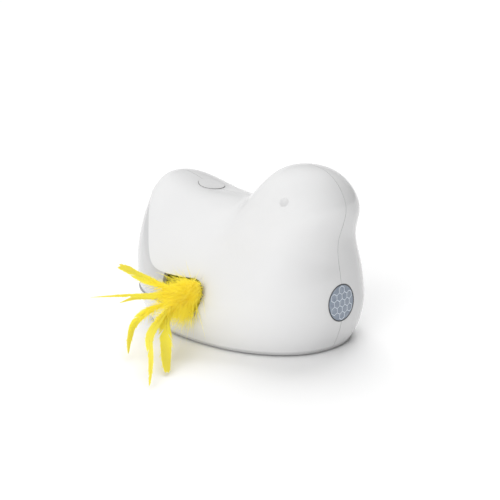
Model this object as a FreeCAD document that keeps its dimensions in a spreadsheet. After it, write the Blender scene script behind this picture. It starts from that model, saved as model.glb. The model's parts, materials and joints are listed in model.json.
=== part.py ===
import FreeCAD, Part
import math
import os

V = FreeCAD.Vector
doc = FreeCAD.newDocument("MotionBird")

# ---------------------------------------------------------------- dimensions
sheet = doc.addObject("Spreadsheet::Sheet", "Dimensions")
DIMS = [
    ("wall", 2.4), ("seam", 0.12), ("floor_gap", 1.2), ("base_top", 4.0), ("panel_depth", 1.0),
    ("slot_low", 23.5), ("panel_front", -18.5), ("panel_front_left", -38.0),
    ("lens_radius", 11.4), ("lens_height", 33.3), ("lens_gap", 0.15),
    ("button_radius", 9.2), ("button_x", -36.0), ("button_gap", 0.25), ("button_proud", 0.5),
    ("module", 0.6), ("pressure_angle", 25.0), ("backlash", 0.14),
    ("arm_axis_x", -8.0), ("arm_height", 36.5), ("arm_reach", 52.0), ("arm_angle", -69.5),
    ("shaft_radius", 2.0), ("run_gap", 0.05),
    ("battery_radius", 7.1), ("battery_length", 49.5), ("battery_pitch", 15.2),
    ("battery_height", 13.5), ("battery_first", -61.0),
    ("foot_radius", 5.0), ("foot_height", 1.8),
]
for row, (name, value) in enumerate(DIMS, 1):
    sheet.set("A%d" % row, name)
    sheet.set("B%d" % row, str(value))
    sheet.setAlias("B%d" % row, name)
doc.recompute()
D = {name: float(sheet.get(name)) for name, _ in DIMS}


# ---------------------------------------------------------------- body shape
def through(points):
    """Smooth monotone curve through (position, value) stations."""
    xs = [p[0] for p in points]
    ys = [p[1] for p in points]
    gaps = [b - a for a, b in zip(xs, xs[1:])]
    rises = [(b - a) / h for a, b, h in zip(ys, ys[1:], gaps)]
    slopes = [rises[0]]
    for i in range(1, len(rises)):
        a, b = rises[i - 1], rises[i]
        wa, wb = 2 * gaps[i] + gaps[i - 1], gaps[i] + 2 * gaps[i - 1]
        slopes.append((wa + wb) / (wa / a + wb / b) if a * b > 0 else 0.0)
    slopes.append(rises[-1])

    def value(t):
        t = min(max(t, xs[0]), xs[-1])
        i = max(j for j in range(len(gaps)) if xs[j] <= t)
        s, h = (t - xs[i]) / gaps[i], gaps[i]
        near = ys[i] * (1 + 2 * s) * (1 - s) ** 2 + h * slopes[i] * s * (1 - s) ** 2
        return near + ys[i + 1] * s * s * (3 - 2 * s) + h * slopes[i + 1] * s * s * (s - 1)
    return value


# half lengths and widths of the body by height, the line of the back by length
rear_at = through([(-30, 72), (0, 76), (7, 80), (19, 84), (34, 87), (47, 88.5), (61, 88.5), (75, 87.5),
                   (88, 84.5), (100, 79)])
front_at = through([(-30, 72), (0, 78), (6, 81.5), (15, 85), (28, 87), (41, 85.5), (54, 81.5), (66, 76),
                    (80, 66), (104, 50)])
width_at = through([(-30, 46), (0, 53), (7, 57.5), (19, 61.5), (32, 63), (45, 62.2), (58, 59), (70, 54),
                    (84, 46), (98, 36)])
back_at = through([(-100, 97), (-88, 102), (-76, 104.8), (-64, 104.2), (-50, 100.0), (-35, 96.4),
                   (-22, 94.3), (-10, 92.4), (5, 90.8), (25, 88), (60, 84)])
# front, back and half width of the head and neck by height; the beak ridge is at 90
head_front_at = through([(30, 78), (41, 84), (47, 83.4), (54, 81.2), (61, 80.4), (72, 81.6), (80, 84.6),
                         (86, 87.6), (89.5, 89.2), (92.5, 89.3), (98, 87.8), (104, 85), (111, 79),
                         (115.5, 72.5), (118, 64), (119, 53)])
head_back_at = through([(30, 10), (56, -2), (70, -1), (81, 6), (89, 12), (98, 19), (106, 26.5),
                        (113, 34), (117.5, 44), (119, 51)])
head_width_at = through([(30, 20), (45, 36), (56, 42), (70, 42), (80, 39.5), (90, 35.5), (99, 31.5),
                         (107, 26), (113.5, 18.5), (117.5, 10), (119, 0.6)])
HEAD_TOP, BACK_CROWN, ROUND, DISH = 119.0, 38.0, 2.25, 4.0


def blend(a, b, k):
    """Smooth minimum of two distances, with no jump in curvature."""
    h = max(k - abs(a - b), 0.0) / k
    return min(a, b) - h * h * h * k / 6


def oval(x, y, a, b, power):
    """Rough distance to a squarish oval, negative inside."""
    q = ((abs(x) / a) ** power + (abs(y) / b) ** power + 1e-12) ** (1 / power)
    if q < 0.2:
        return -0.8 * min(a, b)
    return math.hypot(x, y) * (1 - 1 / q)


def field(x, y, z):
    """Distance-like value of the whole outside, negative inside."""
    side = oval(x, y, front_at(z) if x > 0 else rear_at(z), width_at(z), ROUND)
    hollow = DISH * math.exp(-(y / 13.0) ** 2 - ((x + 36.0) / 22.0) ** 2)
    roof = z - (back_at(x) - hollow - y * y / (2 * BACK_CROWN))
    body = -blend(-side, -0.85 * roof, 16.0)
    ahead, behind, half = head_front_at(z), head_back_at(z), head_width_at(z)
    centre, length = (ahead + behind) / 2, max((ahead - behind) / 2, 0.5)
    head = oval(x - centre, y, length, max(half, 0.5), 2.1)
    if z > HEAD_TOP:
        head = max(head, z - HEAD_TOP)
    head = -blend(-head, z - 46, 30.0)
    return blend(body, head, 19.0)


HEART = (20.0, 0.0, 50.0)
GRID, SPREAD, SKIRT = 56, math.radians(150), -30.0


def ray_hit(dx, dy, dz):
    """Point where a ray from the heart leaves the shape, or the plane under the skirt."""
    low, high = 0.0, 170.0
    if dz < 0:
        high = min(high, (SKIRT - HEART[2]) / dz)
    for _ in range(24):
        mid = (low + high) / 2
        inside = field(HEART[0] + dx * mid, HEART[1] + dy * mid, HEART[2] + dz * mid) < 0
        low, high = (mid, high) if inside else (low, mid)
    return [HEART[0] + dx * low, HEART[1] + dy * low, HEART[2] + dz * low]


def net_direction(i, j):
    """Direction of grid node i, j: a square net wrapped over the top down to the skirt."""
    u, v = 2.0 * i / (GRID - 1) - 1, 2.0 * j / (GRID - 1) - 1
    a, b = u * math.sqrt(1 - v * v / 2), v * math.sqrt(1 - u * u / 2)
    tilt = math.hypot(a, b) * SPREAD
    turn = math.atan2(b, a)
    return math.sin(tilt) * math.cos(turn), math.sin(tilt) * math.sin(turn), math.cos(tilt)


NET = [[ray_hit(*net_direction(i, j)) for j in range(GRID)] for i in range(GRID)]


def net_normal(i, j):
    """Outward unit normal of the net at a node, from its neighbours."""
    a, b = NET[max(i - 1, 0)][j], NET[min(i + 1, GRID - 1)][j]
    c, d = NET[i][max(j - 1, 0)], NET[i][min(j + 1, GRID - 1)]
    return V(*[q - p for p, q in zip(a, b)]).cross(V(*[q - p for p, q in zip(c, d)])).normalize()


def skin(depth):
    """Closed solid of the body shape moved in by depth."""
    poles = []
    for i in range(GRID):
        row = []
        for j in range(GRID):
            point = V(*NET[i][j]) - net_normal(i, j) * depth
            edge = i in (0, GRID - 1) or j in (0, GRID - 1)
            point.z = SKIRT if edge else max(point.z, SKIRT)
            row.append(point)
        poles.append(row)
    count = GRID - 2
    knots = [k / (count - 1.0) for k in range(count)]
    mults = [4] + [1] * (count - 2) + [4]
    surface = Part.BSplineSurface()
    surface.buildFromPolesMultsKnots(poles, mults, mults, knots, knots, False, False, 3, 3)
    face = surface.toShape()
    floor = Part.Face(Part.Wire(Part.__sortEdges__(face.OuterWire.Edges)))
    solid = Part.Solid(Part.Shell([face, floor]))
    if solid.Volume < 0:
        solid.reverse()
    return solid


# ---------------------------------------------------------------- helpers
def block(x0, x1, y0, y1, z0, z1):
    return Part.makeBox(x1 - x0, y1 - y0, z1 - z0, V(x0, y0, z0))


def rod(x, y, z0, z1, radius):
    return Part.makeCylinder(radius, z1 - z0, V(x, y, z0))


def tube(x, y, z0, z1, outer, inner):
    return rod(x, y, z0, z1, outer).cut(rod(x, y, z0, z1, inner))


parts = []


def add(name, shape):
    """Put a finished solid in the document under its file name."""
    if shape.ShapeType == "Compound" and len(shape.Solids) == 1:
        shape = shape.Solids[0]
    obj = doc.addObject("Part::Feature", name)
    obj.Label = name
    obj.Shape = shape
    obj.Placement = shape.Placement
    parts.append(obj)
    return obj


def plate(name, outline, holes, low, thick):
    """PartDesign plate: closed outline of corners, round holes (x, y, radius), padded up."""
    body = doc.addObject("PartDesign::Body", name)
    body.Label = name
    plane = next(f for f in body.Origin.OriginFeatures if f.Role == "XY_Plane")
    sketch = body.newObject("Sketcher::SketchObject", name + "_sketch")
    sketch.AttachmentSupport = [(plane, "")]
    sketch.MapMode = "FlatFace"
    sketch.AttachmentOffset = FreeCAD.Placement(V(0, 0, low), FreeCAD.Rotation())
    for a, b in zip(outline, outline[1:] + outline[:1]):
        sketch.addGeometry(Part.LineSegment(V(a[0], a[1], 0), V(b[0], b[1], 0)), False)
    for x, y, radius in holes:
        sketch.addGeometry(Part.Circle(V(x, y, 0), V(0, 0, 1), radius), False)
    pad = body.newObject("PartDesign::Pad", name + "_pad")
    pad.Profile = sketch
    pad.Length = thick
    doc.recompute()
    parts.append(body)
    return body


def corners(x0, x1, y0, y1, cut=0.0):
    """Rectangle outline with cut-off corners."""
    if cut == 0.0:
        return [(x0, y0), (x1, y0), (x1, y1), (x0, y1)]
    return [(x0 + cut, y0), (x1 - cut, y0), (x1, y0 + cut), (x1, y1 - cut),
            (x1 - cut, y1), (x0 + cut, y1), (x0, y1 - cut), (x0, y0 + cut)]


def rotated(shape, angle, x=D["arm_axis_x"], y=0.0):
    """Copy of a shape turned about the vertical line through x, y."""
    copy = shape.copy()
    copy.rotate(V(x, y, 0), V(0, 0, 1), angle)
    return copy


def fuse_all(shapes):
    return shapes[0].multiFuse(shapes[1:]).removeSplitter() if len(shapes) > 1 else shapes[0]


# ---------------------------------------------------------------- shells and tail panel
OUTER = skin(0.0)
INNER = skin(D["wall"])
WALL = OUTER.cut(INNER)


# wing's trailing edge and slot, seen from the side: down the edge, along the slot, round its nose
EDGE = [(-110, 92), (-90, 91), (-78, 89), (-68, 84.5), (-60, 77.5), (-52, 69.2), (-45, 60.5), (-39, 52.8),
        (-34, 48), (-28, 45.4), (-20, 44.3), (-8, 44.2), (5, 44.9), (12, 45.2), (17, 43.6), (20.2, 39),
        (20.4, 33), (18, 27.6), (13, 24.4), (7, 23.5)]


def window(grow):
    """Opening shared by the wing slot and the tail panel, full width, grown all round."""
    moved = []
    for i, (x, z) in enumerate(EDGE):
        before, after = EDGE[max(i - 1, 0)], EDGE[min(i + 1, len(EDGE) - 1)]
        along = V(after[0] - before[0], 0, after[1] - before[1]).normalize()
        moved.append(V(x, -80, z) + V(0, 1, 0).cross(along) * grow * -1)
    curve = Part.BSplineCurve()
    curve.interpolate(moved)
    low = D["slot_low"] - grow
    corner = V(-110, -80, low)
    edges = [curve.toShape(), Part.makeLine(moved[-1], corner), Part.makeLine(corner, moved[0])]
    return Part.Face(Part.Wire(edges)).extrude(V(0, 160, 0))


OPENING = window(0.0)
LENS_AXIS = (V(60, 0, D["lens_height"]), V(1, 0, 0))
LENS_HOLE = Part.makeCylinder(D["lens_radius"] + D["lens_gap"], 50, *LENS_AXIS)


def on_surface(x, y):
    """Highest point of the outside over x, y, and its upward normal."""
    low, high = 60.0, 125.0
    for _ in range(30):
        mid = (low + high) / 2
        low, high = (mid, high) if field(x, y, mid) < 0 else (low, mid)
    step = 0.4
    slope = [field(x + step, y, low) - field(x - step, y, low),
             field(x, y + step, low) - field(x, y - step, low),
             field(x, y, low + step) - field(x, y, low - step)]
    return V(x, y, low), V(*slope).normalize()


BUTTON_AT, BUTTON_UP = on_surface(D["button_x"], 0.0)


def button_rod(radius, bottom, top):
    """Cylinder on the button's own axis, heights measured from the outside."""
    return Part.makeCylinder(radius, top - bottom, BUTTON_AT + BUTTON_UP * bottom, BUTTON_UP)


def side_surface(x, z, sign):
    """Outside point at x, z on one side and its outward normal."""
    low, high = 0.0, 80.0
    for _ in range(30):
        mid = (low + high) / 2
        low, high = (mid, high) if field(x, sign * mid, z) < 0 else (low, mid)
    y, step = sign * low, 0.4
    slope = [field(x + step, y, z) - field(x - step, y, z),
             field(x, y + step, z) - field(x, y - step, z),
             field(x, y, z + step) - field(x, y, z - step)]
    return V(x, y, z), V(*slope).normalize()


EYE_X, EYE_Z = 63.8, 99.0
BOSS_X = (-30.0, 20.0)


def shell(name, sign):
    """One half of the outside with its slot, lens and button cuts, eye dimple and screw bosses."""
    far = 90 * sign
    low, high = sorted((D["seam"] * sign, far))
    half = WALL.common(block(-120, 120, low, high, D["floor_gap"], 140))
    half = half.cut(OPENING).cut(LENS_HOLE)
    half = half.cut(button_rod(D["button_radius"] + D["button_gap"], -6, 6))
    eye, out = side_surface(EYE_X, EYE_Z, sign)
    half = half.cut(Part.makeSphere(4.6, eye + out * 2.9))
    solids = [half]
    for x in BOSS_X:
        rib_low, rib_high = sorted((45.0 * sign, 60.0 * sign))
        stud = rod(x, 45.0 * sign, D["base_top"], 14, 3.2)
        rib = block(x - 1, x + 1, rib_low, rib_high, D["base_top"], 14).common(INNER)
        solids.append(stud.fuse(rib).cut(rod(x, 45.0 * sign, 3, 12, 1.3)))
    return add(name, solids[0].multiFuse(solids[1:]))


shell("right_shell", -1)
shell("left_shell", 1)

flush = window(-0.15)
under = window(2.5)
OUT_PANEL = skin(D["panel_depth"])
IN_FLANGE = skin(D["wall"] + 0.1)
IN_PANEL = skin(D["wall"] + 1.6)
front_cut = block(D["panel_front"], 120, -80, 0, 0, 140)
front_cut = front_cut.fuse(block(D["panel_front_left"], 120, 0, 80, 0, 140))
panel = OUT_PANEL.common(flush).cut(IN_PANEL).cut(front_cut)
flange = IN_FLANGE.common(under).cut(IN_PANEL).cut(front_cut)
add("tail_panel", panel.fuse(flange))

# ---------------------------------------------------------------- lens and sensor
lens = WALL.common(Part.makeCylinder(D["lens_radius"], 50, *LENS_AXIS))
add("sensor_lens", lens)
ring = Part.makeCylinder(14.0, 3, V(79.5, 0, D["lens_height"]), V(1, 0, 0))
ring = ring.cut(Part.makeCylinder(11.0, 9, V(76, 0, D["lens_height"]), V(1, 0, 0)))
add("lens_retainer", ring.common(skin(D["wall"] + 0.1)))


def lying_cylinder(name, radius, length, x, y, z):
    """Document cylinder lying along +X, its radius and length bound to numbers."""
    obj = doc.addObject("Part::Cylinder", name)
    obj.Label = name
    obj.Radius = radius
    obj.Height = length
    obj.Placement = FreeCAD.Placement(V(x, y, z), FreeCAD.Rotation(V(0, 1, 0), 90))
    parts.append(obj)
    return obj


def upright_cylinder(name, radius, z0, z1, x, y):
    """Document cylinder standing on z0."""
    obj = doc.addObject("Part::Cylinder", name)
    obj.Label = name
    obj.Radius = radius
    obj.Height = z1 - z0
    obj.Placement = FreeCAD.Placement(V(x, y, z0), FreeCAD.Rotation())
    parts.append(obj)
    return obj


lying_cylinder("pir_sensor", 4.6, 4.2, 66.2, 0, D["lens_height"]).setExpression(
    "Placement.Base.z", "Dimensions.lens_height")
board = doc.addObject("Part::Box", "sensor_board")
board.Label = "sensor_board"
board.Length, board.Width, board.Height = 1.6, 24, 26
board.Placement = FreeCAD.Placement(V(64.6, -12, 20.3), FreeCAD.Rotation())
parts.append(board)
stand = block(61, 64.6, -14, 14, D["base_top"], 20.2).cut(block(60, 66, -10, 10, 7, 14))
stand = stand.fuse(block(64.6, 68.2, -14, 14, D["base_top"], 20.2).cut(block(60, 69, -10, 10, 7, 14)))
add("sensor_stand", stand.removeSplitter())

# ---------------------------------------------------------------- power button
cap = button_rod(D["button_radius"], -3.6, 8).common(skin(-D["button_proud"]))
stem = button_rod(2.0, -8.4, -3.6)
add("power_button", cap.fuse(stem))
carrier = button_rod(12.0, -12.2, -2.7).cut(button_rod(10.2, -11.0, -2))
carrier = carrier.common(skin(D["wall"] + 0.15))
add("button_carrier", carrier)
add("tact_switch", button_rod(3.4, -11.0, -9.8))

# ---------------------------------------------------------------- base, door, feet, screws
base_slab = skin(D["wall"] + 0.15).common(block(-120, 120, -90, 90, D["floor_gap"], D["base_top"]))
recess = block(-69, -14, -27.5, 27.5, D["floor_gap"] - 1, 2.7)
base = base_slab.cut(recess).cut(block(-68, -24, -25.8, 25.8, 0, 5))
FEET = [(-44, 34.5), (-44, -34.5), (52, 26), (52, -26), (0, 0)]
for x, y in FEET:
    base = base.cut(rod(x, y, 0, D["foot_height"] + 0.4, D["foot_radius"] + 0.1))
SCREWS = [(x, 45.0 * s) for x in BOSS_X for s in (-1, 1)]
for x, y in SCREWS:
    base = base.cut(rod(x, y, 0, 5, 1.6)).cut(rod(x, y, 0, 2.6, 3.0))
base = base.fuse(rod(-19, 0, D["base_top"], 5.9, 3.0)).cut(rod(-19, 0, 2, 5.4, 1.3))
add("base_plate", base)

plate("battery_door", corners(-68.8, -14.2, -27.3, 27.3, 6), [(-19, 0, 1.5)],
      D["floor_gap"] + 0.1, 1.3)


def pan_screw(x, y, z_head, z_tip, radius=1.2, head=2.4):
    """Screw pointing up with its slotted head underneath."""
    top = rod(x, y, z_head, z_head + 1.0, head).cut(block(x - head, x + head, y - 0.3, y + 0.3,
                                                          z_head - 1, z_head + 0.4))
    return top.fuse(rod(x, y, z_head + 1.0, z_tip, radius))


add("door_screw", pan_screw(-19, 0, 0.3, 5.3))
for i, (x, y) in enumerate(SCREWS, 1):
    add("base_screw_%d" % i, pan_screw(x, y, 1.55, 10.5))
for i, (x, y) in enumerate(FEET, 1):
    foot = upright_cylinder("foot_%d" % i, D["foot_radius"], 0, D["foot_height"], x, y)
    foot.setExpression("Radius", "Dimensions.foot_radius")
    foot.setExpression("Height", "Dimensions.foot_height")

# ---------------------------------------------------------------- battery box
tray = block(-70, -22.4, -28.2, 28.2, D["base_top"], 22.2).common(skin(D["wall"] + 0.6))
tray = tray.cut(block(-69, -23.4, -27.2, 27.2, 3, 21.2).common(skin(D["wall"] + 1.4)))
for x in (-53.4, -38.2):
    tray = tray.fuse(block(x - 0.3, x + 0.3, -26.5, 26.5, 17, 21.5))
BOARD_POSTS = [(-66, 15), (-66, -15), (-27, 15), (-27, -15)]
tray = fuse_all([tray] + [rod(x, y, 22.2, 26, 2.4) for x, y in BOARD_POSTS])
add("battery_box", tray)
for i in range(3):
    x, sign = D["battery_first"] + i * D["battery_pitch"], (1, -1, 1)[i]
    low = -D["battery_length"] / 2
    can = Part.makeCylinder(D["battery_radius"], D["battery_length"] - 1, V(x, low + (0 if sign > 0 else 1),
                            D["battery_height"]), V(0, 1, 0))
    nub_y = low + D["battery_length"] - 1 if sign > 0 else low
    nub = Part.makeCylinder(2.75, 1, V(x, nub_y, D["battery_height"]), V(0, 1, 0))
    add("battery_%d" % (i + 1), can.fuse(nub))
for side, name in ((-1, "contacts_right"), (1, "contacts_left")):
    low, high = sorted((side * 24.9, side * 25.5))
    strips = [block(D["battery_first"] + i * D["battery_pitch"] - 5,
                    D["battery_first"] + i * D["battery_pitch"] + 5, low, high, 8, 19) for i in range(3)]
    link = block(D["battery_first"], D["battery_first"] + 2 * D["battery_pitch"], low, high, 12.5, 14.5)
    add(name, fuse_all(strips + [link]))

# ---------------------------------------------------------------- boards
plate("main_board", corners(-71, -22.6, -19, 19, 3), [(x, y, 1.2) for x, y in BOARD_POSTS], 26, 1.6)
chips = [block(-58, -48, -5, 5, 27.6, 29.2), block(-40, -34, 4, 9, 27.6, 29.0)]
for i, chip in enumerate(chips, 1):
    box = doc.addObject("Part::Box", "chip_%d" % i)
    box.Label = "chip_%d" % i
    bounds = chip.BoundBox
    box.Length, box.Width, box.Height = bounds.XLength, bounds.YLength, bounds.ZLength
    box.Placement = FreeCAD.Placement(V(bounds.XMin, bounds.YMin, bounds.ZMin), FreeCAD.Rotation())
    parts.append(box)
upright_cylinder("capacitor", 3.0, 27.6, 33.5, -42, -11)

# ---------------------------------------------------------------- gear train
ARM_X = D["arm_axis_x"]
M = D["module"]
AXES = [ARM_X, ARM_X + 26 * M, ARM_X + 49 * M, ARM_X + 72 * M]


def involute_gear(teeth, z0, z1, x, phase, bore):
    """Spur gear on a vertical axis at x, first tooth at phase degrees."""
    alpha = math.radians(D["pressure_angle"])
    pitch = teeth * M / 2
    base = pitch * math.cos(alpha)
    tip, root = pitch + 0.8 * M, pitch - 1.05 * M
    half = math.pi / (2 * teeth) - D["backlash"] / (2 * pitch) + math.tan(alpha) - alpha

    def flank(radius):
        if radius <= base:
            return half
        roll = math.acos(base / radius)
        return half - (math.tan(roll) - roll)
    radii = [root, max(root, base) + 0.02, (max(root, base) + pitch) / 2, pitch, (pitch + tip) / 2, tip]
    points = []
    for k in range(teeth):
        middle = math.radians(phase) + 2 * math.pi * k / teeth
        rising = [(r, middle - flank(r)) for r in radii]
        falling = [(r, middle + flank(r)) for r in reversed(radii)]
        points += rising + falling
    corners_3d = [V(x + r * math.cos(a), r * math.sin(a), z0) for r, a in points]
    blank = Part.Face(Part.makePolygon(corners_3d + corners_3d[:1])).extrude(V(0, 0, z1 - z0))
    return blank.cut(rod(x, 0, z0 - 1, z1 + 1, bore))


loose = D["shaft_radius"] / 2 + D["run_gap"]
add("output_gear", involute_gear(40, 15.5, 19.5, AXES[0], 0, D["shaft_radius"]))
second = involute_gear(12, 15, 21, AXES[1], 15, loose)
add("compound_gear_2", second.fuse(involute_gear(36, 21, 24, AXES[1], 0, loose)))
first = involute_gear(10, 20.4, 26.5, AXES[2], 18, loose)
add("compound_gear_1", first.fuse(involute_gear(36, 26.5, 29.5, AXES[2], 0, loose)))
add("motor_pinion", involute_gear(10, 26, 30.4, AXES[3], 18, 1.0))
axle = upright_cylinder("axle_1", D["shaft_radius"] / 2, 6, 33, AXES[2], 0)
axle.setExpression("Radius", "Dimensions.shaft_radius / 2")
axle = upright_cylinder("axle_2", D["shaft_radius"] / 2, 6, 33, AXES[1], 0)
axle.setExpression("Radius", "Dimensions.shaft_radius / 2")
upright_cylinder("motor_shaft", 1.0, 25.1, 30.8, AXES[3], 0)
can = rod(AXES[3], 0, 8, 24.6, 10).common(block(20, 50, -7.8, 7.8, 0, 40))
can = can.fuse(rod(AXES[3], 0, 24.6, 25.0, 3.0))
add("motor_can", can)

GB_X = (-21.6, 48.0)
POSTS = [(-18.4, 13.4), (-18.4, -13.4), (45, 13.4), (45, -13.4)]
tray = block(GB_X[0], GB_X[1], -16.5, 16.5, 6, 8)
tray = fuse_all([tray] + [rod(x, y, 4, 31, 3) for x, y in POSTS])
tray = tray.fuse(block(24.5, 46, 8.0, 9.6, 8, 18)).fuse(block(24.5, 46, -9.6, -8.0, 8, 18))
for x, y in POSTS:
    tray = tray.cut(rod(x, y, 22, 32, 1.2))
for x in AXES[1:3]:
    tray = tray.fuse(rod(x, 0, 8, 14.6 if x == AXES[1] else 20.0, 2.2)).cut(rod(x, 0, 3, 40, 1.0))
tray = tray.cut(rod(ARM_X, 0, 3, 9, 4.0))
add("gearbox_base", tray)
plate("gearbox_cover", corners(GB_X[0], GB_X[1], -16.5, 16.5, 2),
      [(x, y, 1.4) for x, y in POSTS] + [(ARM_X, 0, 4.0), (AXES[1], 0, 1.0), (AXES[2], 0, 1.0)], 31, 2)
for i, (x, y) in enumerate(POSTS, 1):
    screw = rod(x, y, 33, 33.9, 2.3).cut(block(x - 3, x + 3, y - 0.3, y + 0.3, 33.5, 35))
    add("gearbox_screw_%d" % i, screw.fuse(rod(x, y, 24, 33, 1.15)))
bush = D["shaft_radius"] + D["run_gap"]
add("lower_bush", tube(ARM_X, 0, 6, 9, 4.0, bush))
add("upper_bush", tube(ARM_X, 0, 30.5, 33, 4.0, bush))

# ---------------------------------------------------------------- wand arm and feathers
REACH, ARM_Z = D["arm_reach"], D["arm_height"]
add("wand_shaft", rod(ARM_X, 0, 6.2, 41, D["shaft_radius"]).cut(rod(ARM_X, 0, 34, 42, 1.0)))
arm = fuse_all([rod(ARM_X, 0, 33.4, 40.2, 6.5), block(ARM_X - REACH, ARM_X + REACH, -3.4, 3.4, 34.6, 38.4),
                Part.makeCylinder(4.2, 10, V(ARM_X + REACH - 5, 0, ARM_Z), V(1, 0, 0)),
                Part.makeCylinder(4.2, 10, V(ARM_X - REACH - 5, 0, ARM_Z), V(1, 0, 0))])
arm = arm.cut(rod(ARM_X, 0, 30, 45, D["shaft_radius"]))
arm = arm.cut(Part.makeCylinder(2.5, 12, V(ARM_X + REACH - 5, 0, ARM_Z), V(1, 0, 0)))
arm = arm.cut(Part.makeCylinder(2.5, 12, V(ARM_X - REACH + 5, 0, ARM_Z), V(-1, 0, 0)))
add("wand_arm", rotated(arm, D["arm_angle"]))
add("arm_screw", rod(ARM_X, 0, 41, 42.2, 3.2).cut(block(ARM_X - 4, ARM_X + 4, -0.4, 0.4, 41.7, 43))
    .fuse(rod(ARM_X, 0, 35, 41, 0.95)))
plug = Part.makeCylinder(2.45, 9.3, V(ARM_X + REACH - 4, 0, ARM_Z), V(1, 0, 0))
plug = plug.fuse(Part.makeCylinder(3.4, 3, V(ARM_X + REACH + 5.1, 0, ARM_Z), V(1, 0, 0)))
plug = plug.cut(Part.makeCylinder(0.8, 10, V(ARM_X + REACH + 1, 0, ARM_Z), V(1, 0, 0)))
add("wand_plug", rotated(plug, D["arm_angle"]))
stem = Part.makeCylinder(0.75, 8.5, V(ARM_X + REACH + 1.5, 0, ARM_Z), V(1, 0, 0))
add("wand_stem", rotated(stem, D["arm_angle"]))
tuft_x = ARM_X + REACH + 14.0
tuft = Part.makeSphere(3.6, V(tuft_x, 0, ARM_Z))
add("feather_tuft", rotated(tuft, D["arm_angle"]))
TUFT = rotated(Part.Vertex(V(tuft_x, 0, ARM_Z)), D["arm_angle"]).Point
FEATHERS = [
    ((-5.0, -1.5, 3.0), (-23.4, -90.0, 52.4)),
    ((-4.6, -5.0, -0.8), (-36.1, -106.0, 32.7)),
    ((-2.3, -4.6, -5.0), (2.7, -106.0, 4.0)),
    ((3.2, -6.0, -2.2), (52.0, -128.6, 2.4)),
    ((0.6, -2.3, -6.2), (40.6, -106.0, 2.6)),
]
for i, (start, tip) in enumerate(FEATHERS, 1):
    root = TUFT + V(*start)
    line = V(*tip) - root
    add("feather_%d" % i, Part.makeCone(1.9, 0.5, line.Length, root, line))

# ---------------------------------------------------------------- check and export
doc.recompute()
for obj in doc.Objects:
    if "Invalid" in obj.State or "Error" in obj.State:
        raise RuntimeError("feature failed: " + obj.Name)
os.makedirs("parts", exist_ok=True)
for obj in parts:
    shape = obj.Shape
    if shape.isNull() or not shape.isValid() or len(shape.Solids) != 1 or shape.Volume <= 0:
        raise RuntimeError("not one sound solid: %s (%d solids)" % (obj.Label, len(shape.Solids)))
    shape.exportStep("parts/%s.step" % obj.Label)
print("%d parts" % len(parts))
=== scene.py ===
import json
import math
import random

import bpy
from mathutils import Matrix, Vector
from mathutils.bvhtree import BVHTree


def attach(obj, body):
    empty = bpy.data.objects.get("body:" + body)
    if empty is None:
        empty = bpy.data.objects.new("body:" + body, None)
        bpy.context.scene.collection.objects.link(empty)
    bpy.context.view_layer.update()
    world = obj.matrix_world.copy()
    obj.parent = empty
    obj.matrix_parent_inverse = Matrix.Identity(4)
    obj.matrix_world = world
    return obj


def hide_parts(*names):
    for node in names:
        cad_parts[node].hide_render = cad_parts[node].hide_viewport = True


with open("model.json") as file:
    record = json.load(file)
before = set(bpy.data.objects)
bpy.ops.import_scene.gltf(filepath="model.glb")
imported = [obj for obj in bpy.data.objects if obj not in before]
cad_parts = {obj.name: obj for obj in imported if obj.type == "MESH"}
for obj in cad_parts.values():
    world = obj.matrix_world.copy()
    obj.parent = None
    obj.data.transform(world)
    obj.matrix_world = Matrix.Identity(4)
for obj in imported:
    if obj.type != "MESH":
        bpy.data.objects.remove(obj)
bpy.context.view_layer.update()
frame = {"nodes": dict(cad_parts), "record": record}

NODES = frame["nodes"]
MM = 0.001


# ------------------------------------------------------------------ material helpers
def new_material(name):
    """New node material, its node tree and its main shader."""
    mat = bpy.data.materials.new(name)
    mat.use_nodes = True
    tree = mat.node_tree
    return mat, tree, tree.nodes["Principled BSDF"]


def noise(tree, scale, detail, stretch=(1, 1, 1)):
    """Noise in object space; scale is in cells per metre."""
    coords = tree.nodes.new("ShaderNodeTexCoord")
    mapping = tree.nodes.new("ShaderNodeMapping")
    mapping.inputs["Scale"].default_value = stretch
    tex = tree.nodes.new("ShaderNodeTexNoise")
    tex.inputs["Scale"].default_value = scale
    tex.inputs["Detail"].default_value = detail
    tree.links.new(coords.outputs["Object"], mapping.inputs["Vector"])
    tree.links.new(mapping.outputs["Vector"], tex.inputs["Vector"])
    return tex.outputs["Fac"]


def ramp(tree, source, stops):
    """Colour that runs through the stops as source grows."""
    node = tree.nodes.new("ShaderNodeValToRGB")
    elements = node.color_ramp.elements
    while len(elements) < len(stops):
        elements.new(0.5)
    for element, (position, colour) in zip(elements, stops):
        element.position = position
        element.color = (*colour, 1.0)
    tree.links.new(source, node.inputs["Fac"])
    return node.outputs["Color"]


def drift(tree, source, darker, colour):
    """Colour that drifts between two close tones."""
    return ramp(tree, source, [(0.3, darker), (0.7, colour)])


def remap(tree, source, low, high, from_low=0.0, from_high=1.0):
    """Source stretched to run from low to high."""
    node = tree.nodes.new("ShaderNodeMapRange")
    node.inputs["From Min"].default_value = from_low
    node.inputs["From Max"].default_value = from_high
    node.inputs["To Min"].default_value = low
    node.inputs["To Max"].default_value = high
    tree.links.new(source, node.inputs["Value"])
    return node.outputs["Result"]


def bump(tree, source, strength, distance, shader):
    """Fine relief on shader's surface from source."""
    node = tree.nodes.new("ShaderNodeBump")
    node.inputs["Strength"].default_value = strength
    node.inputs["Distance"].default_value = distance
    tree.links.new(source, node.inputs["Height"])
    tree.links.new(node.outputs["Normal"], shader.inputs["Normal"])


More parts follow.
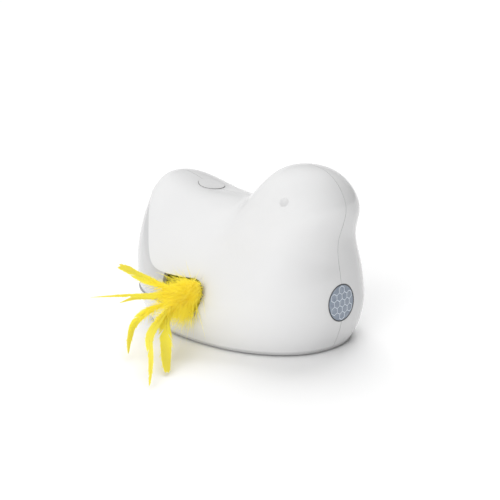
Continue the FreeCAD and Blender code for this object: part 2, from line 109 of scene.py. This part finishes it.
# ------------------------------------------------------------------ materials
def painted_hollow_shade(tree, tone, crevice_shade):
    """Tone with painted shade: in seams and hollows a few millimetres deep it falls to the given share."""
    hollow = tree.nodes.new("ShaderNodeAmbientOcclusion")
    hollow.inputs["Distance"].default_value = 4 * MM
    hollow.samples = 8
    shade = tree.nodes.new("ShaderNodeVectorMath")
    shade.operation = "SCALE"
    tree.links.new(tone, shade.inputs[0])
    tree.links.new(remap(tree, hollow.outputs["AO"], crevice_shade, 1.0, 0.5, 1.0), shade.inputs["Scale"])
    return shade.outputs["Vector"]


def plastic(name, colour, rough, grain, coat=0.0, spread=0.03, crevice_shade=1.0, specular=0.5):
    """Moulded plastic: slight tone drift, uneven sheen, fine moulding texture and optional painted shade in
    hollows.
    """
    mat, tree, shader = new_material(name)
    wide = noise(tree, 28.0, 3.0)
    tone = drift(tree, wide, tuple(max(c - spread, 0) for c in colour), colour)
    # Painted shade: ambient occlusion darkens the base colour in seams, dimples and gaps.
    if crevice_shade < 1.0:
        tone = painted_hollow_shade(tree, tone, crevice_shade)
    tree.links.new(tone, shader.inputs["Base Color"])
    tree.links.new(remap(tree, wide, rough * 0.8, rough * 1.25), shader.inputs["Roughness"])
    bump(tree, noise(tree, 900.0, 2.0), grain, 0.2 * MM, shader)
    shader.inputs["Specular IOR Level"].default_value = specular
    shader.inputs["Coat Weight"].default_value = coat
    shader.inputs["Coat Roughness"].default_value = 0.04
    return mat


def metal(name, colour, rough):
    """Metal with drawn or turned streaks."""
    mat, tree, shader = new_material(name)
    shader.inputs["Metallic"].default_value = 1.0
    streaks = noise(tree, 300.0, 3.0, (1, 1, 12))
    tone = drift(tree, streaks, tuple(c * 0.8 for c in colour), colour)
    tree.links.new(tone, shader.inputs["Base Color"])
    tree.links.new(remap(tree, streaks, rough * 0.7, rough * 1.5), shader.inputs["Roughness"])
    bump(tree, streaks, 0.05, 0.1 * MM, shader)
    return mat


def board_material():
    """Green board with a grid of lighter tracks."""
    mat, tree, shader = new_material("board")
    coords = tree.nodes.new("ShaderNodeTexCoord")
    brick = tree.nodes.new("ShaderNodeTexBrick")
    brick.inputs["Scale"].default_value = 160.0
    brick.inputs["Mortar Size"].default_value = 0.03
    brick.inputs["Color1"].default_value = (0.01, 0.10, 0.04, 1)
    brick.inputs["Color2"].default_value = (0.015, 0.12, 0.05, 1)
    brick.inputs["Mortar"].default_value = (0.05, 0.28, 0.10, 1)
    tree.links.new(coords.outputs["Object"], brick.inputs["Vector"])
    tree.links.new(brick.outputs["Color"], shader.inputs["Base Color"])
    shader.inputs["Roughness"].default_value = 0.35
    bump(tree, brick.outputs["Fac"], 0.2, 0.1 * MM, shader)
    return mat


def lens_material():
    """Milky moulded lens plastic."""
    mat, tree, shader = new_material("lens")
    cloud = noise(tree, 350.0, 3.0)
    tone = drift(tree, cloud, (0.25, 0.30, 0.38), (0.36, 0.42, 0.51))
    tree.links.new(tone, shader.inputs["Base Color"])
    shader.inputs["Roughness"].default_value = 0.22
    shader.inputs["Transmission Weight"].default_value = 0.25
    shader.inputs["IOR"].default_value = 1.45
    shader.inputs["Coat Weight"].default_value = 0.4
    bump(tree, cloud, 0.1, 0.1 * MM, shader)
    return mat


def feather_material(name, deep, bright, tip, painted_glow):
    """Dyed feather, thin enough to pass light, with a painted glow from emission: deep at the root, then
    bright, then tip.
    """
    mat, tree, shader = new_material(name)
    along = tree.nodes.new("ShaderNodeAttribute")
    along.attribute_name = "along"
    mixed = tree.nodes.new("ShaderNodeMath")
    mixed.operation = "MULTIPLY_ADD"
    mixed.inputs[1].default_value = 0.35
    tree.links.new(noise(tree, 260.0, 4.0), mixed.inputs[0])
    tree.links.new(along.outputs["Fac"], mixed.inputs[2])
    colour = ramp(tree, mixed.outputs["Value"], [(0.08, deep), (0.38, bright), (0.9, bright), (1.15, tip)])
    tree.links.new(colour, shader.inputs["Base Color"])
    shader.inputs["Roughness"].default_value = 0.55
    shader.inputs["Sheen Weight"].default_value = 0.35
    # Painted glow: emission in the feather's own colour brightens it as if light shone through.
    tree.links.new(colour, shader.inputs["Emission Color"])
    shader.inputs["Emission Strength"].default_value = painted_glow
    thin = tree.nodes.new("ShaderNodeBsdfTranslucent")
    tree.links.new(colour, thin.inputs["Color"])
    mix = tree.nodes.new("ShaderNodeMixShader")
    mix.inputs["Fac"].default_value = 0.4
    tree.links.new(shader.outputs["BSDF"], mix.inputs[1])
    tree.links.new(thin.outputs["BSDF"], mix.inputs[2])
    tree.links.new(mix.outputs["Shader"], tree.nodes["Material Output"].inputs["Surface"])
    return mat


# The last number of each is the strength of the painted glow.
FEATHER = feather_material("feather_yellow", (0.94, 0.71, 0.04), (0.93, 0.86, 0.09), (0.92, 0.84, 0.10), 0.05)
DOWN = feather_material("down_yellow", (0.96, 0.725, 0.03), (0.97, 0.87, 0.08), (0.99, 0.91, 0.11), 0.08)
LENS_LINE = plastic("lens_cell_edges", (0.66, 0.72, 0.80), 0.2, 0.03, coat=0.3)
# Painted shadow: a near-black strip stands for the shade in the gap round the lens.
GAP_SHADOW = plastic("lens_rim_shadow", (0.035, 0.037, 0.042), 0.5, 0.05, spread=0.01)

SLOT_MATERIALS = {
    # white_gloss gets painted shade in its seams, eye dimple and button gap.
    "white_gloss": plastic("white_gloss", (0.68, 0.68, 0.682), 0.13, 0.015,
                           spread=0.012, crevice_shade=0.6, specular=0.35),
    # white_panel is the same white plastic as the shell; its darker base colour is painted shade for the
    # tail's rear face, which faces away from the light.
    "white_panel": plastic("white_panel", (0.52, 0.52, 0.525), 0.16, 0.015, coat=0.4, spread=0.012),
    "grey_plastic": plastic("grey_plastic", (0.45, 0.45, 0.46), 0.4, 0.08),
    "black_plastic": plastic("black_plastic", (0.02, 0.02, 0.02), 0.4, 0.08, spread=0.008),
    "natural_nylon": plastic("natural_nylon", (0.72, 0.69, 0.60), 0.35, 0.05),
    "foot_rubber": plastic("foot_rubber", (0.25, 0.25, 0.26), 0.75, 0.2),
    "battery_wrap": plastic("battery_wrap", (0.06, 0.07, 0.09), 0.25, 0.02, coat=0.3),
    "steel": metal("steel", (0.55, 0.55, 0.57), 0.28),
    "brass": metal("brass", (0.72, 0.52, 0.22), 0.25),
    "board_green": board_material(),
    "lens_milky": lens_material(),
    "feather_yellow": FEATHER,
}
for part in frame["record"]["subparts"]:
    node = NODES[part["node"]]
    node.data.materials.clear()
    node.data.materials.append(SLOT_MATERIALS[part["material_slot"]])


# ------------------------------------------------------------------ mesh helpers
def mesh_object(name, verts, faces, material, smooth=True, along=None):
    """Object from vertices and faces; along is one number per vertex for the material."""
    mesh = bpy.data.meshes.new(name)
    mesh.from_pydata(verts, [], faces)
    mesh.update()
    obj = bpy.data.objects.new(name, mesh)
    bpy.context.collection.objects.link(obj)
    mesh.materials.append(material)
    for polygon in mesh.polygons:
        polygon.use_smooth = smooth
    if along is not None:
        layer = mesh.attributes.new("along", "FLOAT", "POINT")
        layer.data.foreach_set("value", along)
    return obj


def neighbours_step(points, k):
    """Step from the point before k to the point after it."""
    return points[min(k + 1, len(points) - 1)] - points[max(k - 1, 0)]


class Strands:
    """Collects thin ribbons and tubes into one mesh."""

    def __init__(self):
        self.verts, self.faces, self.along = [], [], []

    def ribbon(self, points, widths, sides, along):
        """Flat ribbon through points; each point has its width and the way it spreads."""
        first = len(self.verts)
        for point, w, side in zip(points, widths, sides):
            self.verts += [point - side * w / 2, point + side * w / 2]
            self.along += [along, along]
        for k in range(len(points) - 1):
            a = first + 2 * k
            self.faces.append((a, a + 1, a + 3, a + 2))

    def tube(self, points, radii, sides, along):
        """Round tapering tube through points."""
        first = len(self.verts)
        for k, (point, r) in enumerate(zip(points, radii)):
            ahead = neighbours_step(points, k).normalized()
            across = ahead.orthogonal().normalized()
            up = ahead.cross(across)
            for s in range(sides):
                a = 2 * math.pi * s / sides
                self.verts.append(point + (across * math.cos(a) + up * math.sin(a)) * r)
                self.along.append(along)
        for k in range(len(points) - 1):
            for s in range(sides):
                a, b = first + k * sides + s, first + k * sides + (s + 1) % sides
                self.faces.append((a, b, b + sides, a + sides))

    def build(self, name, material):
        return mesh_object(name, self.verts, self.faces, material, along=self.along)


# ------------------------------------------------------------------ feather wand
ARM_X, ARM_Z, ARM_REACH = -8.0 * MM, 36.5 * MM, 52.0 * MM
ARM_ANGLE = math.radians(-69.5)
ARM_DIR = Vector((math.cos(ARM_ANGLE), math.sin(ARM_ANGLE), 0))
ROOT = Vector((ARM_X, 0, ARM_Z)) + ARM_DIR * (ARM_REACH + 9 * MM)  # where every plume starts
FACING = Vector((0.66, -0.66, 0.36)).normalized()  # the way the vanes' flat sides face

SHAFT_R = 0.40 * MM
BARB_SPACING = 0.24 * MM
BARB_LEAN = 1.02  # radians from straight out towards the tip
BARB_POINTS = (0.0, 0.25, 0.5, 0.75, 1.0)
BARE_ROOT = 0.08  # share of the shaft without barbs
GAP_HALF_LENGTH = 0.008  # of a split in the vane, as a share of the shaft
VANE_START, VANE_RISE, VANE_TAPER = 0.20, 0.30, 0.62
HAIR_STEPS = 6
SLOT_HAIRS, LOOSE_HAIRS, PLUME_HAIRS = 2000, 3600, 520

# name, half width in mm, seed, twist, tip bluntness, where its down ends, CAD feather it stands for,
# and the points in mm that its shaft passes through after ROOT
PLUMES = [
    ("plume_upper", 3.1, 11, 0.30, 0.28, 0.55, "feather_1",
     [(2.5, -66, 37.6), (-6.4, -74, 41.5), (-12.9, -81, 45.8), (-18.3, -86, 50), (-23.4, -90, 52.7)]),
    ("plume_long", 2.1, 12, 0.35, 0.95, 0.35, "feather_2",
     [(4.8, -68, 36.5), (-4.2, -78, 35.3), (-19, -94, 35), (-36.1, -106, 32.7)]),
    ("plume_short", 2.4, 13, -0.3, 0.8, 0.40, None,
     [(4.8, -68, 35.1), (-8, -75, 33.2), (-17.7, -83, 31.5), (-26.2, -90, 27.8)]),
    ("plume_left", 2.9, 14, -0.35, 0.65, 0.50, "feather_3",
     [(7.1, -70, 32.7), (-0.8, -85, 27.4), (-5.3, -93, 19.9), (-2.7, -100, 12.1), (2.7, -106, 4.2)]),
    ("plume_floor", 3.2, 15, 0.4, 0.60, 0.40, "feather_4",
     [(11.8, -74, 32.5), (17.7, -92, 27.2), (27.5, -108, 21.5), (42.9, -120, 14), (52, -128.4, 2.6)]),
    ("plume_broad", 4.6, 16, -0.15, 0.42, 0.45, "feather_5",
     [(15.2, -72, 32), (15.8, -84, 25.7), (30.4, -98, 14.2), (40.7, -106, 2.8)]),
]


def shaft_path(points):
    return [ROOT] + [Vector(point) * MM for point in points]


def spline(points, t):
    """Point on the smooth curve that passes through every given point."""
    place = min(t, 0.9999) * (len(points) - 1)
    i = int(place)
    s = place - i
    a, b = points[i], points[i + 1]
    before = points[i - 1] if i > 0 else a * 2 - b
    after = points[i + 2] if i + 2 < len(points) else b * 2 - a
    return 0.5 * (2 * a + (b - before) * s + (2 * before - 5 * a + 4 * b - after) * s * s
                  + (3 * a - before - 3 * b + after) * s * s * s)


def vane_profile(t, blunt):
    """Share of the vane's full half width at t: rises past the down, tapers to the tip."""
    rise = min(max((t - VANE_START) / VANE_RISE, 0.0), 1.0)
    left = max((1.0 - t) / VANE_TAPER, 0.0)
    return (0.15 + 0.85 * rise * rise * (3 - 2 * rise)) * min(left, 1.0) ** blunt


def barb(out, rng, here, ahead, flat, side, reach, downy, along):
    """One barb from the shaft at here, the looser the nearer to the downy root."""
    stray = rng.random() < 0.10 + 0.30 * downy
    lean = BARB_LEAN - 0.25 * downy
    loose = 0.9 * downy * rng.random()
    reach = reach / math.cos(lean) * (1.0 + loose + (0.45 * rng.random() if stray else 0.0))
    normal = ahead.cross(flat)
    direction = flat * side * math.cos(lean) + ahead * math.sin(lean)
    direction = (direction + normal * rng.gauss(0, 0.02 + 0.30 * downy)).normalized()
    hook = ahead * 0.20 + normal * (rng.gauss(0, 0.03 + 0.25 * downy) - 0.10)
    points = [here + direction * reach * s + hook * reach * s * s for s in BARB_POINTS]
    thick = (0.46 - 0.22 * downy) * MM * (0.6 if stray else 1.0)
    widths = [thick, thick, thick * 0.95, thick * 0.8, thick * 0.2]
    out.ribbon(points, widths, [direction.cross(normal).normalized()] * len(points), along)


def feather(name, path, width, seed, twist, blunt, downy_end):
    """Hackle feather: shaft, two rows of close barbs that make the vane, and down near the root."""
    rng = random.Random(seed)
    out = Strands()
    steps = 36
    spine = [spline(path, k / steps) for k in range(steps + 1)]
    length = sum((b - a).length for a, b in zip(spine, spine[1:]))
    out.tube(spine, [SHAFT_R * (1 - 0.85 * k / steps) for k in range(steps + 1)], sides=6, along=0.55)
    gaps = [(rng.uniform(0.45, 0.92), rng.choice((-1, 1))) for _ in range(2)]
    count = int(length / BARB_SPACING)
    for i in range(count):
        t = BARE_ROOT + (1 - BARE_ROOT) * (i + rng.random()) / count
        here = spline(path, t)
        ahead = (spline(path, min(t + 0.02, 1.0)) - spline(path, max(t - 0.02, 0.0))).normalized()
        flat = FACING.cross(ahead).normalized()
        flat.rotate(Matrix.Rotation(twist * (0.3 + t), 3, ahead))
        downy = max(0.0, 1 - t / downy_end)
        for side in (-1, 1):
            reach = width * vane_profile(t, blunt) * rng.uniform(0.94, 1.04)
            for gap, gap_side in gaps:
                if gap_side == side and abs(t - gap) < GAP_HALF_LENGTH:
                    reach *= 0.45
            barb(out, rng, here, ahead, flat, side, reach, downy, 0.25 + 0.75 * t)
    return out.build(name, FEATHER)


def scatter(rng, x, y, z):
    """Random vector; each of x, y and z is a mean and a spread."""
    return Vector((rng.gauss(*x), rng.gauss(*y), rng.gauss(*z)))


def down_curl(rng):
    return scatter(rng, (-0.06, 0.16), (0, 0.12), (-0.22, 0.16))


def hair(out, rng, start, direction, size, curl):
    """One soft, slightly wavy hair of down."""
    direction.normalize()
    wave, phase = rng.uniform(0.3, 0.9) * MM, rng.uniform(0, 6.28)
    across = direction.cross(scatter(rng, (0, 1), (0, 1), (0, 1))).normalized()
    bend = direction.cross(across)
    shares = [k / HAIR_STEPS for k in range(HAIR_STEPS + 1)]
    points = []
    for s in shares:
        sway = bend * wave * math.sin(phase + 5 * s) * s
        points.append(start + direction * size * s + curl * size * s * s + sway)
    thick = rng.uniform(0.22, 0.42) * MM
    widths = [thick * (1 - 0.93 * s ** 1.5) for s in shares]
    out.ribbon(points, widths, [across] * len(points), 0.05 + 0.45 * rng.random() + 0.1 * size / (25 * MM))


def slot_down(out, rng):
    """Short dense tuft at the front end of the slot."""
    for _ in range(SLOT_HAIRS):
        start = ROOT + scatter(rng, (4.2, 1.9), (-4.6, 0.9), (2.8, 2.7)) * MM
        direction = Vector((rng.gauss(0.30, 0.28), -1.0, rng.gauss(0.22, 0.38)))
        curl = down_curl(rng)
        hair(out, rng, start, direction, rng.triangular(4, 10, 7) * MM, curl)


def loose_down(out, rng):
    """Longer fluff that hangs out and back over the plumes' roots."""
    for _ in range(LOOSE_HAIRS):
        start = ROOT + scatter(rng, (-1, 2.2), (-2.5, 1.8), (-0.8, 3.0)) * MM
        direction = Vector((rng.gauss(-0.40, 0.40), -abs(rng.gauss(0.68, 0.30)), rng.gauss(-0.18, 0.54)))
        curl = down_curl(rng)
        hair(out, rng, start, direction, rng.triangular(8, 24, 14) * MM, curl)


def plume_down(out, rng, path):
    """Down all round the lower half of one plume's shaft."""
    for _ in range(PLUME_HAIRS):
        t = rng.triangular(0.04, 0.52, 0.16)
        here = spline(path, t)
        ahead = (spline(path, t + 0.02) - here).normalized()
        around = ahead.orthogonal().normalized()
        around.rotate(Matrix.Rotation(rng.uniform(0, math.tau), 3, ahead))
        direction = around * rng.uniform(0.35, 1.0) + ahead * rng.uniform(0.5, 1.2)
        curl = ahead * rng.uniform(0.0, 0.4) + Vector((0, 0, -rng.uniform(0.0, 0.3)))
        hair(out, rng, here, direction, rng.uniform(4, 11) * MM * (1.15 - t), curl)


def down_tuft(name, seed):
    """All the fluff at the feathers' roots, as one piece."""
    rng = random.Random(seed)
    out = Strands()
    slot_down(out, rng)
    loose_down(out, rng)
    for *_, points in PLUMES:
        plume_down(out, rng, shaft_path(points))
    return out.build(name, DOWN)


for name, width, seed, twist, blunt, downy_end, stands_for, points in PLUMES:
    obj = feather(name, shaft_path(points), width * MM, seed, twist, blunt, downy_end)
    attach(obj, "wand")
    if stands_for:
        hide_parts(stands_for)
tuft = down_tuft("down_tuft", 21)
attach(tuft, "wand")
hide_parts("feather_tuft")

# ------------------------------------------------------------------ lens cells and rim
LENS_Z, LENS_R = 33.3 * MM, 11.4 * MM
CELL_SIDE = 2.75 * MM
CELL_LINE_WIDTH, CELL_LINE_PROUD = 0.42 * MM, 0.06 * MM
RIM_WIDTH, RIM_PROUD, RIM_STEPS = 0.80 * MM, 0.08 * MM, 96


def surface_tree(node):
    """Search tree of a CAD node's surface, for rays in the shared frame."""
    verts = [node.matrix_world @ v.co for v in node.data.vertices]
    return BVHTree.FromPolygons(verts, [f.vertices[:] for f in node.data.polygons])


FRONT_TREES = [surface_tree(NODES[name]) for name in ("sensor_lens", "right_shell", "left_shell")]


def on_front(y, z, proud):
    """Point of the front surface over y, z, lifted outwards."""
    best = None
    for tree in FRONT_TREES:
        hit = tree.ray_cast(Vector((0.2, y, z)), Vector((-1, 0, 0)))
        if hit[0] is not None and (best is None or hit[0].x > best.x):
            best = hit[0]
    return best + Vector((proud, 0, 0)) if best else None


def strip_on_front(out, line, width, proud):
    """Flat strip along a line of (y, z) points, lying on the front surface."""
    points = [on_front(y, z, proud) for y, z in line]
    if None in points:
        return
    forward = Vector((1, 0, 0))
    sides = [neighbours_step(points, k).cross(forward).normalized() for k in range(len(points))]
    out.ribbon(points, [width] * len(points), sides, 0.0)


def lens_cells():
    """Light lines between the lens's six-sided cells."""
    out = Strands()
    for row in range(-5, 6):
        for column in range(-6, 7):
            cy = (column + 0.5 * (row % 2)) * CELL_SIDE * math.sqrt(3)
            cz = row * CELL_SIDE * 1.5
            turns = [math.radians(a) for a in (0, 60, 120, 180)]
            corners = [(cy + CELL_SIDE * math.sin(a), cz + CELL_SIDE * math.cos(a)) for a in turns]
            for (y0, z0), (y1, z1) in zip(corners, corners[1:]):
                line = [(y0 + (y1 - y0) * k / 3, z0 + (z1 - z0) * k / 3) for k in range(4)]
                if max(math.hypot(y, z) for y, z in line) < LENS_R - 0.3 * MM:
                    line = [(y, z + LENS_Z) for y, z in line]
                    strip_on_front(out, line, CELL_LINE_WIDTH, CELL_LINE_PROUD)
    return out.build("lens_cell_lines", LENS_LINE)


def lens_rim():
    """Thin dark ring of painted shadow where the lens sits in the shell; half steps keep its points off the
    seam.
    """
    out = Strands()
    radius = LENS_R + 0.35 * MM
    turns = [math.tau * (k + 0.5) / RIM_STEPS for k in range(RIM_STEPS + 1)]
    ring = [(radius * math.sin(a), LENS_Z + radius * math.cos(a)) for a in turns]
    strip_on_front(out, ring, RIM_WIDTH, RIM_PROUD)
    return out.build("lens_rim", GAP_SHADOW)


for obj, slot_name in ((lens_cells(), "lens_milky"), (lens_rim(), "grey_plastic")):
    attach(obj, "housing")

# ------------------------------------------------------------------ stage
FLOOR_HALF, RIM_RISE, RIM_SPREAD = 20.0, 1.0, 1.2  # the rim slopes up behind the floor's edge
WORLD_STRENGTH = 0.74


def studio_floor():
    """Pale floor with a gently rising rim, which hides the horizon from the camera."""
    mat, _, shader = new_material("floor")
    shader.inputs["Base Color"].default_value = (0.92, 0.92, 0.92, 1)
    shader.inputs["Roughness"].default_value = 0.8
    shader.inputs["Specular IOR Level"].default_value = 0.0
    corners = [(x * FLOOR_HALF, y * FLOOR_HALF) for x, y in ((-1, -1), (1, -1), (1, 1), (-1, 1))]
    verts = [(x, y, 0) for x, y in corners]
    verts += [(RIM_SPREAD * x, RIM_SPREAD * y, RIM_RISE) for x, y in corners]
    faces = [(0, 1, 2, 3), (0, 4, 5, 1), (1, 5, 6, 2), (2, 6, 7, 3), (3, 7, 4, 0)]
    return mesh_object("floor", verts, faces, mat, smooth=False)


studio_floor()


def multiplied(tree, a, b):
    """Product of a node's output and either another output or a plain number."""
    node = tree.nodes.new("ShaderNodeMath")
    node.operation = "MULTIPLY"
    tree.links.new(a, node.inputs[0])
    if isinstance(b, float):
        node.inputs[1].default_value = b
    else:
        tree.links.new(b, node.inputs[1])
    return node.outputs["Value"]


def darkened_towards(tree, coords, direction, low, high, amount):
    """1 away from direction, falling smoothly by amount as the view comes to face it."""
    dot = tree.nodes.new("ShaderNodeVectorMath")
    dot.operation = "DOT_PRODUCT"
    dot.inputs[1].default_value = Vector(direction).normalized()
    tree.links.new(coords.outputs["Generated"], dot.inputs[0])
    span = tree.nodes.new("ShaderNodeMapRange")
    span.interpolation_type = "SMOOTHSTEP"
    span.inputs["From Min"].default_value = low
    span.inputs["From Max"].default_value = high
    tree.links.new(dot.outputs["Value"], span.inputs["Value"])
    less = tree.nodes.new("ShaderNodeMath")
    less.operation = "MULTIPLY_ADD"
    less.inputs[1].default_value = -amount
    less.inputs[2].default_value = 1.0
    tree.links.new(span.outputs["Result"], less.inputs[0])
    return less.outputs["Value"]


def studio_world():
    """White surroundings: for the camera, almost dark on the right and with a grey card high at the back."""
    world = bpy.data.worlds.new("studio")
    bpy.context.scene.world = world
    world.use_nodes = True
    tree = world.node_tree
    coords = tree.nodes.new("ShaderNodeTexCoord")
    dark_side = darkened_towards(tree, coords, (0.70, 0.70, 0.05), low=0.25, high=0.85, amount=0.97)
    card = darkened_towards(tree, coords, (-0.45, 0.55, 0.70), low=0.84, high=0.93, amount=0.60)
    strength = multiplied(tree, multiplied(tree, card, dark_side), WORLD_STRENGTH)
    background = tree.nodes["Background"]
    tree.links.new(strength, background.inputs["Strength"])
    background.inputs["Color"].default_value = (1, 1, 1, 1)


def wide_light(name, towards, spread, strength):
    """Soft light from far away, spread over an angle in degrees and left out of reflections."""
    light = bpy.data.lights.new(name, "SUN")
    light.angle = math.radians(spread)
    light.energy = strength
    obj = bpy.data.objects.new(name, light)
    bpy.context.collection.objects.link(obj)
    obj.rotation_mode = "QUATERNION"
    obj.rotation_quaternion = Vector(towards).to_track_quat("Z", "Y")
    obj.visible_glossy = False


studio_world()
wide_light("front", (0.45, -1.00, 0.50), spread=40, strength=1.45)
wide_light("top", (-0.45, 0.50, 0.95), spread=45, strength=1.70)

# ------------------------------------------------------------------ camera
AZIMUTH, ELEVATION, DISTANCE = math.radians(46), math.radians(13), 0.700
AIM = Vector((0, 0, 0.060))
SENSOR_WIDTH, FOCAL_LENGTH = 36, 73.584  # in mm


def place_camera():
    back = Vector((math.sin(AZIMUTH) * math.cos(ELEVATION), -math.cos(AZIMUTH) * math.cos(ELEVATION),
                   math.sin(ELEVATION)))
    camera = bpy.data.objects.new("camera", bpy.data.cameras.new("camera"))
    bpy.context.collection.objects.link(camera)
    bpy.context.scene.camera = camera
    camera.rotation_mode = "QUATERNION"
    camera.location = AIM + back * DISTANCE
    camera.rotation_quaternion = (-back).to_track_quat("-Z", "Y")
    camera.data.sensor_width = SENSOR_WIDTH
    camera.data.lens = FOCAL_LENGTH
    camera.data.shift_x = 0.006
    camera.data.shift_y = -0.021
    camera.data.clip_start, camera.data.clip_end = 0.01, 50


place_camera()
bpy.context.scene.view_settings.view_transform = "Standard"
